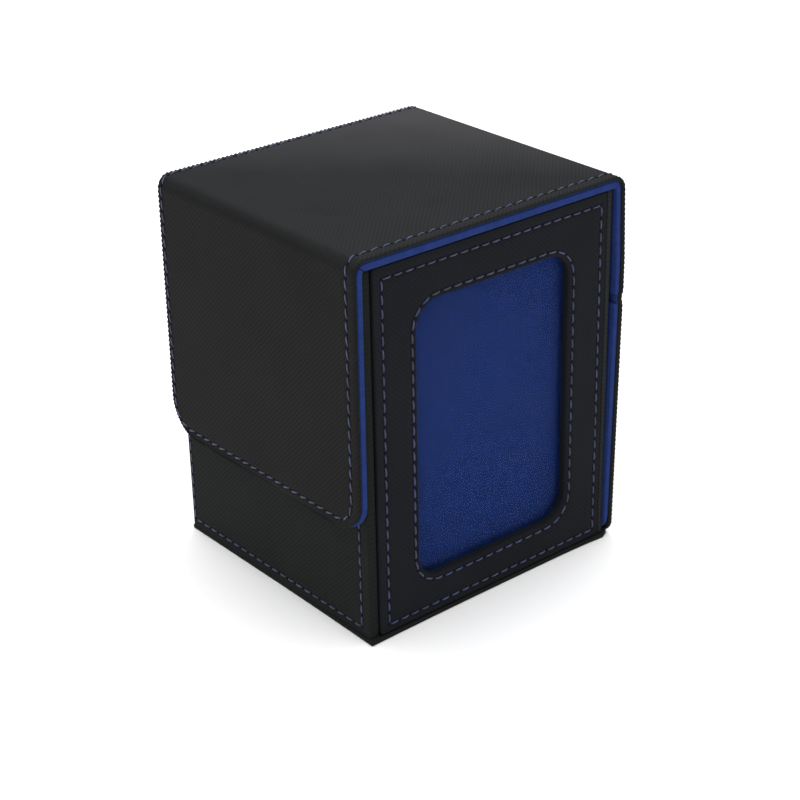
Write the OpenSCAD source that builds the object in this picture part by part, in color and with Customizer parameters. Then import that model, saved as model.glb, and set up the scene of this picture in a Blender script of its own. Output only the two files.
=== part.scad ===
// Deck box for trading cards: a leather-covered board tray with a windowed display
// pocket on its front, closed by one long cover strip that runs up the hinge side,
// over the top and down the flap side. +Z is up, -Y is the window side and -X the
// flap side. The origin is the middle of the underside.

/* [Tray] */
// Outside width, flap side to hinge side
body_w = 80.4; // [78:0.1:90]
// Outside depth, window side to rear
body_d = 77.7; // [74:0.1:86]
// Height of the walls' rims above the table
body_h = 99.4; // [97:0.1:110]
// Thickness of the wrapped base plate
base_t = 1.4; // [1.2:0.1:2.4]
// Thickness of the wall behind the flap
flap_wall_t = 2.7; // [2.4:0.1:3.6]
// Thickness of the wall behind the hinge panels
hinge_wall_t = 2.2; // [2:0.1:3]
// Width of that wall's front and rear edges, outside its board
hinge_edge = 1.5; // [0.9:0.1:1.6]
// Thickness of the leather sheet
leather_t = 0.5; // [0.3:0.05:0.6]
// Thickness of the suede lining sheet
suede_t = 0.5; // [0.3:0.05:0.8]

/* [Window side] */
// Thickness of the front and rear panels
panel_t = 2.2; // [1.8:0.1:3]
// How far those panels stand proud of the side walls' edges
panel_proud = 1.0; // [0.5:0.1:1.6]
// Groove around those panels
groove = 0.2; // [0.1:0.05:0.5]
// Width of the window
window_w = 49.6; // [40:0.2:54]
// Height of the window
window_h = 74.8; // [60:0.2:80]
// Height of the window's lower edge
window_z = 11.9; // [9:0.1:14]
// How far the window's middle stands off the tray's middle, towards the hinge side
window_x = 0.8; // [0:0.1:1.6]
// Corner radius of the window
window_r = 6.5; // [3:0.1:10]
// Thickness of the clear film
film_t = 0.25; // [0.15:0.05:0.4]
// Depth of the card pocket behind the film
pocket_gap = 1.4; // [0.8:0.1:2]
// Width of the card pocket
pocket_w = 68; // [67:0.5:70]
// Height of the strip that the displayed card stands on
pocket_floor = 3.4; // [2:0.1:6]
// Thickness of the board behind the displayed card
display_board_t = 1.3; // [1:0.1:2]

/* [Cover strip] */
// Clearance between the closed cover and the tray
cover_gap = 0.35; // [0.3:0.05:0.6]
// Thickness of the outer leather layer with its stiffener
skin_t = 1.2; // [1:0.1:1.6]
// Thickness of the lining panels
lining_t = 2.0; // [1.6:0.1:2.4]
// How far the cover stands out past the tray's front and rear
cover_over = 0.85; // [0.4:0.05:1.5]
// Outer radius of the folds
fold_r = 4; // [3:0.1:5]
// Height of the flap's lower edge
flap_z = 31.4; // [25:0.1:45]
// Corner radius of the flap
flap_corner = 8.5; // [5:0.5:12]
// Height of the crease on the hinge side
crease_z = 69.3; // [60:0.1:75]
// Gap that the stiff layers leave at the crease
crease_gap = 1.6; // [1.4:0.1:3]
// Thickness of the outer layer below the crease
lower_skin_t = 1.1; // [0.9:0.1:1.4]
// Thickness of the lining panel below the crease
lower_lining_t = 1.8; // [1.5:0.1:2.2]
// Corner radius at the foot of the cover
lower_corner = 4; // [3:0.5:9]

/* [Seams] */
// Width of a row of stitches
thread_w = 0.6; // [0.4:0.1:1]
// Height of a row of stitches above the leather
thread_t = 0.2; // [0.1:0.05:0.4]
// Distance of the seams from the cover's edge
seam_in = 2.4; // [2:0.1:4]
// Distance of the seams from the front and rear panels' edges
panel_seam_in = 2.9; // [2:0.1:4]
// Distance of those seams from the panels' lower edges
panel_seam_foot = 1.6; // [1:0.1:4]
// Distance of the inner seam from the window
window_seam_out = 1.9; // [1.4:0.1:3]
// Distance of the wall seam from the wall's edges
wall_seam_in = 2.6; // [2:0.1:4]
// Distance of the wall seam from the wall's foot
wall_seam_foot = 1.8; // [1:0.1:4]

/* [Magnets] */
// Diameter of the magnets
magnet_d = 10; // [6:1:12]
// Thickness of the magnets
magnet_t = 1.2; // [0.8:0.1:1.2]
// Height of the magnets
magnet_z = 44; // [41:1:60]
// Distance between the two magnets of a pair
magnet_pitch = 44; // [20:1:56]

/* [Hidden] */
$fn = 48;

black = "#2b2c2d";
blue = "#26397a";
grey_board = "#a89f90";
thread_col = "#4a4f78";

// Overlap of joined outlines, and how far cutting shapes run past a face
eps = 0.01;
over = 1;
half_w = body_w / 2;
half_d = body_d / 2;
// Ends of the side walls, set back from the front and rear panels
wall_end = half_d - panel_proud;
// Inner faces of the side walls
flap_wall_in = -half_w + flap_wall_t;
hinge_wall_in = half_w - hinge_wall_t;
// Front and rear panels, between the side walls' edges
panel_x0 = flap_wall_in + groove;
panel_x1 = half_w - hinge_edge - groove;
panel_in = half_d - panel_t;
// Layers behind the window, from the panel's back inwards
film_in = panel_in - film_t;
pocket_in = film_in - pocket_gap;
display_in = pocket_in - suede_t;
board_in = display_in - display_board_t;
front_in = board_in - suede_t;
// Inner face of the rear wall
rear_in = panel_in - suede_t;
floor_t = 0.8;
floor_z = base_t + floor_t;
// The leather turns over the rims and this far down inside
turn_in = 6;
base_wrap = 0.4;
// Leather on the outside of the hinge-side wall
hinge_skin_t = 0.4;
// How far the film stops short of the window panel's edges
film_edge = 1;
// Cover strip
cover_half = half_d + cover_over;
lining_x = half_w + cover_gap;
skin_x = lining_x + lining_t;
outer_x = skin_x + skin_t;
lining_z = body_h + cover_gap;
skin_z = lining_z + lining_t;
outer_z = skin_z + skin_t;
fold_x = outer_x - fold_r;
fold_z = outer_z - fold_r;
inner_r = fold_r - skin_t;
// The lining panels stop short of the leather's edge
lining_inset = 0.4;
// The boards inside the skins and linings
wrap_t = 0.4;
stiff_inset = 5;
stiff_corner = 4;
stiff_half = cover_half - stiff_inset;
stiff_t = skin_t - 2 * wrap_t;
panel_half = cover_half - lining_inset - wrap_t;
board_t = lining_t - 2 * wrap_t;
// How far those boards stop short of the folds
stiff_short = 1.5;
board_short = 0.5;
stiff_top = fold_z - stiff_short;
panel_top = fold_z - board_short;
// Clearance of the mitres at the folds
mitre = 0.15;
// Ends of the stiff layers at the crease
lower_z1 = crease_z - crease_gap / 2;
upper_z0 = crease_z + crease_gap / 2;
// Layers of the cover below the crease, which is glued to the tray
lower_skin_x = half_w + lower_lining_t;
lower_outer_x = lower_skin_x + lower_skin_t;
lower_stiff_t = lower_skin_t - 2 * wrap_t;
lower_board_t = lower_lining_t - 2 * wrap_t;

// Radius of a seam's corner inside a sheet's corner of radius r
function seam_corner(r) = max(r - seam_in, 2 * thread_w);

// A box from one corner to the other
module block(a, b) {
    translate(a) cube(b - a);
}

// A rounded rectangle on the plane, by its two corners
module round_rect(x0, y0, x1, y1, r) {
    translate([x0 + r, y0]) square([x1 - x0 - 2 * r, y1 - y0]);
    translate([x0, y0 + r]) square([x1 - x0, y1 - y0 - 2 * r]);
    for (x = [x0 + r, x1 - r], y = [y0 + r, y1 - r]) translate([x, y]) circle(r);
}

// A rectangle whose lower corners alone are rounded
module foot_rect(x0, y0, x1, y1, r) {
    translate([x0 + r, y0]) square([x1 - x0 - 2 * r, r + eps]);
    translate([x0, y0 + r]) square([x1 - x0, y1 - y0 - r]);
    for (x = [x0 + r, x1 - r]) translate([x, y0 + r]) circle(r);
}

// Stands an outline drawn in X and Z up on the plane y, t thick towards +Y
module along_y(y, t) {
    translate([0, y + t, 0]) rotate([90, 0, 0]) linear_extrude(t) children();
}

// Stands an outline drawn in Y and Z up on the plane x, t thick towards +X
module along_x(x, t) {
    translate([x, 0, 0]) rotate([90, 0, 90]) linear_extrude(t) children();
}

// ---- base and floor ----
module base_board() {
    color(grey_board)
        block(
            [-half_w + base_wrap, -half_d + base_wrap, base_wrap],
            [half_w - base_wrap, half_d - base_wrap, base_t]
        );
}

module base_skin() {
    color(black) difference() {
        block([-half_w, -half_d, 0], [half_w, half_d, base_t]);
        block(
            [-half_w + base_wrap, -half_d + base_wrap, base_wrap],
            [half_w - base_wrap, half_d - base_wrap, base_t + over]
        );
    }
}

module floor_lining() {
    color(blue)
        block([flap_wall_in - leather_t, -front_in, base_t], [hinge_wall_in + suede_t, rear_in, floor_z]);
}

// ---- side wall behind the flap ----
module flap_side_core(grow = 0) {
    block(
        [-half_w + leather_t, -wall_end + leather_t, base_t - grow],
        [flap_wall_in - leather_t, wall_end - leather_t, body_h - leather_t]
    );
}

module flap_side_suede(grow = 0) {
    block(
        [flap_wall_in - leather_t, -front_in, floor_z - grow],
        [flap_wall_in + grow, rear_in, body_h - turn_in]
    );
}

// Pockets for magnets in the plane x, opening towards +X
module magnet_discs(x, t, d) {
    for (side = [-1, 1])
        translate([x, side * magnet_pitch / 2, magnet_z]) rotate([0, 90, 0]) cylinder(d = d, h = t);
}

module flap_side_board() {
    color(grey_board) difference() {
        flap_side_core();
        magnet_discs(-half_w + leather_t - over, magnet_t + over, magnet_d);
    }
}

module flap_side_skin() {
    color(black) difference() {
        block([-half_w, -wall_end, base_t], [flap_wall_in, wall_end, body_h]);
        flap_side_core(over);
        flap_side_suede(over);
        block([flap_wall_in - leather_t, -front_in, 0], [flap_wall_in + over, rear_in, floor_z]);
    }
}

module flap_side_lining() {
    color(blue) flap_side_suede();
}

module flap_side_thread() {
    color(thread_col) along_x(-half_w - thread_t, thread_t) difference() {
        wall_seam(0);
        wall_seam(thread_w);
    }
}

// Outline of the wall's seam, drawn in Y and Z
module wall_seam(inset) {
    low = base_t + wall_seam_foot + inset;
    side = wall_end - wall_seam_in - inset;
    translate([-side, low]) square([2 * side, body_h - wall_seam_in - inset - low]);
}

module wall_magnets() {
    color("silver") magnet_discs(-half_w + leather_t, magnet_t, magnet_d);
}

// ---- side wall behind the hinge panels ----
module hinge_side_core() {
    block(
        [hinge_wall_in + suede_t, -film_in, base_t],
        [half_w - hinge_skin_t, panel_in, body_h - leather_t]
    );
}

module hinge_side_board() {
    color(grey_board) hinge_side_core();
}

module hinge_side_skin() {
    color(black) {
        // outer face and the folded edges beside the front and rear panels
        difference() {
            block([half_w - hinge_edge, -wall_end, base_t], [half_w, wall_end, body_h]);
            block([0, -film_in, 0], [half_w - hinge_skin_t, panel_in, body_h - leather_t]);
        }
        // the part turned over the rim and down inside
        difference() {
            block([hinge_wall_in, -front_in, body_h - turn_in], [half_w - hinge_skin_t, rear_in, body_h]);
            hinge_side_core();
        }
    }
}

module hinge_side_lining() {
    color(blue)
        block([hinge_wall_in, -front_in, floor_z], [hinge_wall_in + suede_t, rear_in, body_h - turn_in]);
}

// ---- rear panel ----
module panel_core(y0, y1, grow = 0) {
    block(
        [panel_x0 + leather_t, y0, base_t + groove + leather_t],
        [panel_x1 - leather_t, y1, body_h - leather_t]
    );
}

module rear_board() {
    color(grey_board) panel_core(panel_in, half_d - leather_t);
}

module rear_skin() {
    color(black) {
        difference() {
            block([panel_x0, panel_in, base_t + groove], [panel_x1, half_d, body_h]);
            panel_core(panel_in - over, half_d - leather_t);
        }
        // the part turned over the rim and down inside
        difference() {
            block(
                [flap_wall_in, rear_in, body_h - turn_in],
                [hinge_wall_in + suede_t, panel_in + leather_t, body_h]
            );
            panel_core(panel_in - over, half_d);
            block([flap_wall_in - over, panel_in, 0], [panel_x0, half_d, body_h + over]);
        }
    }
}

module rear_lining() {
    color(blue) block([flap_wall_in, rear_in, base_t], [hinge_wall_in + suede_t, panel_in, body_h - turn_in]);
}

// Outline of the seam near the edge of the front and rear panels, drawn in X and Z
module panel_seam(inset) {
    edge = panel_seam_in + inset;
    low = base_t + groove + panel_seam_foot + inset;
    translate([panel_x0 + edge, low]) square([panel_x1 - panel_x0 - 2 * edge, body_h - edge - low]);
}

module rear_thread() {
    color(thread_col) along_y(half_d, thread_t) difference() {
        panel_seam(0);
        panel_seam(thread_w);
    }
}

// ---- window panel and display pocket ----
// Outline of the window, grown by out, drawn in X and Z
module window_outline(out) {
    round_rect(
        window_x - window_w / 2 - out, window_z - out,
        window_x + window_w / 2 + out, window_z + window_h + out, window_r + out
    );
}

module window_panel_board() {
    color(grey_board) difference() {
        panel_core(-half_d + leather_t, -panel_in);
        along_y(-half_d - over, panel_t + 2 * over) window_outline(leather_t);
    }
}

module window_panel_skin() {
    color(black) difference() {
        block([panel_x0, -half_d, base_t + groove], [panel_x1, -panel_in, body_h]);
        difference() {
            panel_core(-half_d + leather_t, -panel_in + over);
            along_y(-half_d - over, panel_t + 3 * over) window_outline(leather_t);
        }
        along_y(-half_d - over, panel_t + 2 * over) window_outline(0);
    }
}

module window_panel_thread() {
    color(thread_col) along_y(-half_d - thread_t, thread_t) {
        difference() {
            panel_seam(0);
            panel_seam(thread_w);
        }
        difference() {
            window_outline(window_seam_out);
            window_outline(window_seam_out - thread_w);
        }
    }
}

module window_film() {
    color("lightblue", 0.3)
        block(
            [panel_x0 + film_edge, -panel_in, base_t + film_edge],
            [panel_x1 - film_edge, -film_in, body_h - film_edge]
        );
}

module pocket_spacer() {
    color(black) difference() {
        block([flap_wall_in, -film_in, base_t], [hinge_wall_in + suede_t, -pocket_in, body_h - leather_t]);
        block(
            [window_x - pocket_w / 2, -half_d, base_t + pocket_floor],
            [window_x + pocket_w / 2, 0, body_h + over]
        );
    }
}

module display_lining() {
    color(blue)
        block([flap_wall_in, -pocket_in, base_t], [hinge_wall_in + suede_t, -display_in, body_h - leather_t]);
}

module display_board() {
    color(grey_board)
        block([flap_wall_in, -display_in, base_t], [hinge_wall_in + suede_t, -board_in, body_h - leather_t]);
}

module front_lining() {
    color(blue)
        block([flap_wall_in, -board_in, base_t], [hinge_wall_in + suede_t, -front_in, body_h - leather_t]);
}

// ---- cover strip above the crease ----
// Section of everything inside radius r and inside the planes x and z, drawn in X and Z
module arch(x, z, r) {
    translate([-x + r, 0]) square([2 * (x - r), z]);
    translate([-x, 0]) square([2 * x, z - r]);
    for (side = [-1, 1]) translate([side * (x - r), z - r]) circle(r);
}

// Part of the section that belongs to the flap: -1, to the top: 0, or to the upper back: 1
module share(which, low) {
    far = 20;
    if (which == 0)
        polygon([
            [-fold_x + mitre, 0], [-fold_x + mitre, fold_z], [-fold_x + mitre - far, fold_z + far],
            [fold_x - mitre + far, fold_z + far], [fold_x - mitre, fold_z], [fold_x - mitre, 0]
        ]);
    else
        scale([which, 1]) polygon([
            [fold_x + mitre, low], [fold_x + mitre, fold_z], [fold_x + mitre + far, fold_z + far],
            [fold_x + mitre + far, low]
        ]);
}

// Solid layer of the cover between two arches, over the tray's depth
module cover_layer(which, low, half, x0, z0, r0, x1, z1, r1) {
    along_y(-half, 2 * half) intersection() {
        difference() {
            arch(x1, z1, r1);
            if (r0 > 0) arch(x0, z0, r0);
            else translate([-x0, -over]) square([2 * x0, z0 + over]);
        }
        share(which, low);
    }
}

module cover_skin(which, low) {
    cover_layer(which, low, cover_half, skin_x, skin_z, inner_r, outer_x, outer_z, fold_r);
}

module cover_lining(which, low) {
    cover_layer(which, low, cover_half - lining_inset, lining_x, lining_z, 0, skin_x, skin_z, inner_r);
}

// Rounds the lower corners of an upright panel on either side
module foot_cut(low, half, r) {
    intersection() {
        children();
        along_x(-outer_x - over, 2 * (outer_x + over)) foot_rect(-half, low, half, outer_z + over, r);
    }
}

// Flat boards: one against the skin's outer leather, one inside the lining panel
module upright_plate(x, t, low, high, half, r) {
    along_x(x, t) foot_rect(-half, low, half, high, r);
}

module level_plate(z, t, half_x, half_y) {
    block([-half_x, -half_y, z], [half_x, half_y, z + t]);
}

module flap_stiffener() {
    color(grey_board)
        upright_plate(
            -skin_x - wrap_t - stiff_t, stiff_t, flap_z + stiff_inset, stiff_top, stiff_half, stiff_corner
        );
}

module flap_skin() {
    color(black) difference() {
        foot_cut(flap_z, cover_half, flap_corner) cover_skin(-1, flap_z);
        flap_stiffener();
    }
}

module flap_board_shape() {
    low = flap_z + lining_inset + wrap_t;
    upright_plate(
        -lining_x - wrap_t - board_t, board_t, low, panel_top, panel_half, flap_corner - wrap_t
    );
}

module flap_lining() {
    color(blue) difference() {
        foot_cut(flap_z + lining_inset, cover_half - lining_inset, flap_corner) cover_lining(-1, flap_z);
        flap_board_shape();
    }
}

module flap_board() {
    color(grey_board) difference() {
        flap_board_shape();
        magnet_discs(-lining_x - wrap_t - magnet_t, magnet_t, magnet_d);
    }
}

module flap_magnets() {
    color("silver") magnet_discs(-lining_x - wrap_t - magnet_t, magnet_t, magnet_d);
}

// Outline of a seam that is open at the top, drawn in Y and Z
module foot_seam(low, high, half, r) {
    difference() {
        foot_rect(-half + seam_in, low + seam_in, half - seam_in, high, r);
        foot_rect(
            -half + seam_in + thread_w, low + seam_in + thread_w,
            half - seam_in - thread_w, high + over, r - thread_w
        );
    }
}

module flap_thread() {
    color(thread_col)
        along_x(-outer_x - thread_t, thread_t) foot_seam(flap_z, fold_z, cover_half, seam_corner(flap_corner));
}

module top_stiffener() {
    color(grey_board) level_plate(skin_z + wrap_t, stiff_t, fold_x - stiff_short, stiff_half);
}

module top_skin() {
    color(black) difference() {
        cover_skin(0, 0);
        top_stiffener();
    }
}

module top_board() {
    color(grey_board) level_plate(lining_z + wrap_t, board_t, fold_x - board_short, panel_half);
}

module top_lining() {
    color(blue) difference() {
        cover_lining(0, 0);
        top_board();
    }
}

module top_thread() {
    color(thread_col) for (side = [-1, 1])
        translate([0, side * (cover_half - seam_in - thread_w / 2), outer_z + thread_t / 2])
            cube([2 * fold_x, thread_w, thread_t], center = true);
}

module upper_back_stiffener() {
    color(grey_board) along_x(skin_x + wrap_t, stiff_t)
        translate([-stiff_half, upper_z0 + wrap_t]) square([2 * stiff_half, stiff_top - upper_z0 - wrap_t]);
}

module upper_back_skin() {
    color(black) difference() {
        cover_skin(1, upper_z0);
        upper_back_stiffener();
    }
}

module upper_back_board() {
    color(grey_board) along_x(lining_x + wrap_t, board_t)
        translate([-panel_half, upper_z0 + wrap_t]) square([2 * panel_half, panel_top - upper_z0 - wrap_t]);
}

module upper_back_lining() {
    color(blue) difference() {
        cover_lining(1, upper_z0);
        upper_back_board();
    }
}

module upper_back_thread() {
    color(thread_col) for (side = [-1, 1])
        translate([
            outer_x + thread_t / 2, side * (cover_half - seam_in - thread_w / 2), (upper_z0 + fold_z) / 2
        ]) cube([thread_t, thread_w, fold_z - upper_z0], center = true);
}

// ---- cover strip below the crease, glued to the tray ----
module lower_back_stiffener() {
    color(grey_board)
        upright_plate(
            lower_skin_x + wrap_t, lower_stiff_t, stiff_inset, lower_z1 - wrap_t, stiff_half, stiff_corner
        );
}

module lower_back_skin() {
    color(black) difference() {
        upright_plate(lower_skin_x, lower_skin_t, 0, lower_z1, cover_half, lower_corner);
        lower_back_stiffener();
    }
}

module lower_back_board() {
    color(grey_board)
        upright_plate(
            half_w + wrap_t, lower_board_t, lining_inset + wrap_t, lower_z1 - wrap_t,
            panel_half, lower_corner - wrap_t
        );
}

module lower_back_lining() {
    color(blue) difference() {
        upright_plate(
            half_w, lower_lining_t, lining_inset, lower_z1, cover_half - lining_inset, lower_corner
        );
        lower_back_board();
    }
}

module lower_back_thread() {
    color(thread_col)
        along_x(lower_outer_x, thread_t) foot_seam(0, lower_z1, cover_half, seam_corner(lower_corner));
}

base_board();
base_skin();
floor_lining();
flap_side_board();
flap_side_skin();
flap_side_lining();
flap_side_thread();
wall_magnets();
hinge_side_board();
hinge_side_skin();
hinge_side_lining();
rear_board();
rear_skin();
rear_lining();
rear_thread();
window_panel_board();
window_panel_skin();
window_panel_thread();
window_film();
pocket_spacer();
display_lining();
display_board();
front_lining();
lower_back_skin();
lower_back_stiffener();
lower_back_lining();
lower_back_board();
lower_back_thread();
upper_back_skin();
upper_back_stiffener();
upper_back_lining();
upper_back_board();
upper_back_thread();
top_skin();
top_stiffener();
top_lining();
top_board();
top_thread();
flap_skin();
flap_stiffener();
flap_lining();
flap_board();
flap_thread();
flap_magnets();
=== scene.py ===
import bisect
import math

import bmesh
import bpy
from mathutils import Matrix, Vector, kdtree


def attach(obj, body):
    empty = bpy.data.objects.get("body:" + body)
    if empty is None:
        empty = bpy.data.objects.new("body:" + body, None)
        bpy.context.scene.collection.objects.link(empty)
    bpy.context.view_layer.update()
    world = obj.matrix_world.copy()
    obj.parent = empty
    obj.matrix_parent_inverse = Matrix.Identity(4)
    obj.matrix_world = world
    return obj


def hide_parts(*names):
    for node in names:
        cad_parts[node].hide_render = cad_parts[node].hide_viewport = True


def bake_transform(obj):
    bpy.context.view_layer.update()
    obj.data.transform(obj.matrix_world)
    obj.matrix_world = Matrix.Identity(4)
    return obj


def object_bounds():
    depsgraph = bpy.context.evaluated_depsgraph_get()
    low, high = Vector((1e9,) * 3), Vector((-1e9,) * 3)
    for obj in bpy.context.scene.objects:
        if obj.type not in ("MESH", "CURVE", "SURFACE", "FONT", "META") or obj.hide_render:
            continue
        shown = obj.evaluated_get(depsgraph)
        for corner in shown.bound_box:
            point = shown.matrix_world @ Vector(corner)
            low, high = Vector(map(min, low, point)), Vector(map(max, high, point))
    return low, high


# Card deck box: a leather tray with a stitched window panel, and one long cover strip
# that hangs from the hinge side, folds over the top and closes down the flap side.
# Lengths in the code are millimetres and become metres when a mesh is made.

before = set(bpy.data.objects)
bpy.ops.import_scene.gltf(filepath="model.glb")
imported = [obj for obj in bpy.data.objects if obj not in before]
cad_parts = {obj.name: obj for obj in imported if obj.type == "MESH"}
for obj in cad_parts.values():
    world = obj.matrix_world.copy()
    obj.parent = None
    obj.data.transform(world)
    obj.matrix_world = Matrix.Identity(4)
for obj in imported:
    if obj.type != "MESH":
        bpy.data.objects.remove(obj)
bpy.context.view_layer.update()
mm = 0.001
print("frame loaded")


# the point at the share t of the way from a to b
def between(a, b, t):
    return a[0] + (b[0] - a[0]) * t, a[1] + (b[1] - a[1]) * t


# small tools for nodes

def newGroup(name, inputs, outputs):
    tree = bpy.data.node_groups.new(name, "ShaderNodeTree")
    for label, kind, value in inputs:
        socket = tree.interface.new_socket(label, in_out="INPUT", socket_type=kind)
        if value is not None:
            socket.default_value = value
    for label, kind in outputs:
        tree.interface.new_socket(label, in_out="OUTPUT", socket_type=kind)
    return tree, tree.nodes.new("NodeGroupInput"), tree.nodes.new("NodeGroupOutput")


# links a socket, or sets a plain value
def feed(tree, socket, value):
    if isinstance(value, bpy.types.NodeSocket):
        tree.links.new(value, socket)
    else:
        socket.default_value = value


# a node with its settings, and its inputs by number or name
def addNode(tree, kind, inputs, **settings):
    made = tree.nodes.new(kind)
    for name, value in settings.items():
        setattr(made, name, value)
    for key, value in inputs.items():
        feed(tree, made.inputs[key], value)
    return made


def calc(tree, operation, first, second=0.0, third=0.0):
    return addNode(tree, "ShaderNodeMath", {0: first, 1: second, 2: third}, operation=operation).outputs[0]


def mixValue(tree, factor, first, second):
    return addNode(tree, "ShaderNodeMix", {0: factor, 2: first, 3: second}, data_type="FLOAT").outputs[0]


def mixColour(tree, factor, first, second, blend="MIX"):
    inputs = {0: factor, 6: first, 7: second}
    return addNode(tree, "ShaderNodeMix", inputs, data_type="RGBA", blend_type=blend).outputs[2]


def noise(tree, vector, scale, detail=2.0, roughness=0.5):
    inputs = {"Vector": vector, "Scale": scale, "Detail": detail, "Roughness": roughness}
    return addNode(tree, "ShaderNodeTexNoise", inputs).outputs["Fac"]


def remap(tree, value, low, high, toLow, toHigh):
    inputs = dict(enumerate((value, low, high, toLow, toHigh)))
    return addNode(tree, "ShaderNodeMapRange", inputs).outputs[0]


# noise lies mostly between 0.3 and 0.7, which become the two values given
def fromNoise(tree, value, toLow, toHigh):
    return remap(tree, value, 0.3, 0.7, toLow, toHigh)


# the shader's colour for an everyday one of 0 to 255
def linear(red, green, blue):
    values = []
    for part in (red, green, blue):
        part = part / 255
        values.append(part / 12.92 if part <= 0.04045 else ((part + 0.055) / 1.055) ** 2.4)
    return (*values, 1.0)


# shared effects

ribShape = {
    "pitch": 0.94,
    "cuts": 0.3,
    "wander": 0.7,  # how far the ribs stray from straight
    "flat": 0.45,  # height of leather without ribs
    "pores": 0.28,
    "shade": 0.16,  # painted shade: the gaps between the ribs darker than the ribs
}


# fine diagonal ribs pressed into the leather, with shallow cross cuts between them
def makeRibGroup():
    tree, given, out = newGroup(
        "pressedRibs",
        [("Sheet", "NodeSocketVector", None), ("Turn", "NodeSocketFloat", 0.0),
         ("Pitch", "NodeSocketFloat", ribShape["pitch"]), ("Cuts", "NodeSocketFloat", ribShape["cuts"]),
         ("Press", "NodeSocketFloat", 1.0)],
        [("Height", "NodeSocketFloat"), ("Tone", "NodeSocketFloat")])
    across, along = addNode(tree, "ShaderNodeSeparateXYZ", {0: given.outputs["Sheet"]}).outputs[:2]
    half = math.sqrt(0.5)
    sumLine = calc(tree, "MULTIPLY", calc(tree, "ADD", across, along), half)
    gapLine = calc(tree, "MULTIPLY", calc(tree, "SUBTRACT", across, along), half)
    ribLine = mixValue(tree, given.outputs["Turn"], sumLine, gapLine)
    cutLine = mixValue(tree, given.outputs["Turn"], gapLine, sumLine)
    wander = noise(tree, given.outputs["Sheet"], 0.16, 2.0)
    ribLine = calc(tree, "MULTIPLY_ADD", wander, ribShape["wander"], ribLine)
    ribTurns = calc(tree, "DIVIDE", ribLine, given.outputs["Pitch"])
    wave = calc(tree, "SINE", calc(tree, "MULTIPLY", ribTurns, 2 * math.pi))
    rib = calc(tree, "MULTIPLY_ADD", wave, 0.5, 0.5)
    row = calc(tree, "MULTIPLY", calc(tree, "FLOOR", ribTurns), math.pi)
    cutTurns = calc(tree, "MULTIPLY", cutLine, math.pi / ribShape["pitch"])
    cutWave = calc(tree, "SINE", calc(tree, "ADD", cutTurns, row))
    cut = calc(tree, "POWER", calc(tree, "MULTIPLY_ADD", cutWave, 0.5, 0.5), 3.0)
    cutDepth = calc(tree, "MULTIPLY", cut, given.outputs["Cuts"])
    ribCut = calc(tree, "MULTIPLY", rib, calc(tree, "SUBTRACT", 1.0, cutDepth))
    ribCut = mixValue(tree, given.outputs["Press"], ribShape["flat"], ribCut)
    pores = noise(tree, given.outputs["Sheet"], 3.1, 3.0, 0.6)
    height = calc(tree, "MULTIPLY_ADD", pores, ribShape["pores"], ribCut)
    tree.links.new(height, out.inputs["Height"])
    patches = noise(tree, given.outputs["Sheet"], 0.055, 3.0)
    # the tone: painted shade in the gaps between the ribs, over random lighter and darker patches
    tone = calc(tree, "MULTIPLY_ADD", ribCut, ribShape["shade"], fromNoise(tree, patches, 0.84, 1.0))
    tree.links.new(tone, out.inputs["Tone"])
    return tree


# short brushed pile of the suede, with lighter and darker strokes
def makePileGroup():
    tree, given, out = newGroup(
        "brushedPile",
        [("Place", "NodeSocketVector", None), ("Fineness", "NodeSocketFloat", 5.0)],
        [("Height", "NodeSocketFloat"), ("Tone", "NodeSocketFloat")])
    fine = noise(tree, given.outputs["Place"], given.outputs["Fineness"], 4.0)
    strokes = noise(tree, given.outputs["Place"], 0.35, 3.0, 0.6)
    height = calc(tree, "MULTIPLY_ADD", strokes, 0.35, fine)
    tree.links.new(height, out.inputs["Height"])
    shade = fromNoise(tree, strokes, 0.86, 1.1)
    tone = calc(tree, "MULTIPLY", shade, remap(tree, fine, 0.25, 0.75, 0.82, 1.16))
    tree.links.new(tone, out.inputs["Tone"])
    return tree


ribGroup = makeRibGroup()
pileGroup = makePileGroup()


# materials

def newMaterial(name):
    made = bpy.data.materials.new(name)
    made.use_nodes = True
    tree = made.node_tree
    shader = next(n for n in tree.nodes if n.type == "BSDF_PRINCIPLED")
    return made, tree, shader


def placeGroup(tree, group, vector, **values):
    return addNode(tree, "ShaderNodeGroup", {0: vector, **values}, node_tree=group)


# the place along and across the sheet, in millimetres
def sheetPlace(tree):
    return addNode(tree, "ShaderNodeUVMap", {}, uv_map="sheet").outputs["UV"]


# the place in the object, in millimetres
def objectPlace(tree):
    place = addNode(tree, "ShaderNodeTexCoord", {}).outputs["Object"]
    return addNode(tree, "ShaderNodeVectorMath", {0: place, "Scale": 1 / mm}, operation="SCALE").outputs[0]


def bumpTo(tree, shader, height, distance, strength=1.0):
    made = addNode(tree, "ShaderNodeBump", {"Distance": distance, "Strength": strength, "Height": height})
    tree.links.new(made.outputs["Normal"], shader.inputs["Normal"])


def setFinish(shader, finish):
    for label, value in finish.items():
        shader.inputs[label].default_value = value


# the base colour, lighter or darker by the tone
def toneTo(tree, shader, colour, tone):
    grey = addNode(tree, "ShaderNodeCombineColor", {0: tone, 1: tone, 2: tone})
    mixed = mixColour(tree, 1.0, colour, grey.outputs[0], "MULTIPLY")
    tree.links.new(mixed, shader.inputs["Base Color"])
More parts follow.
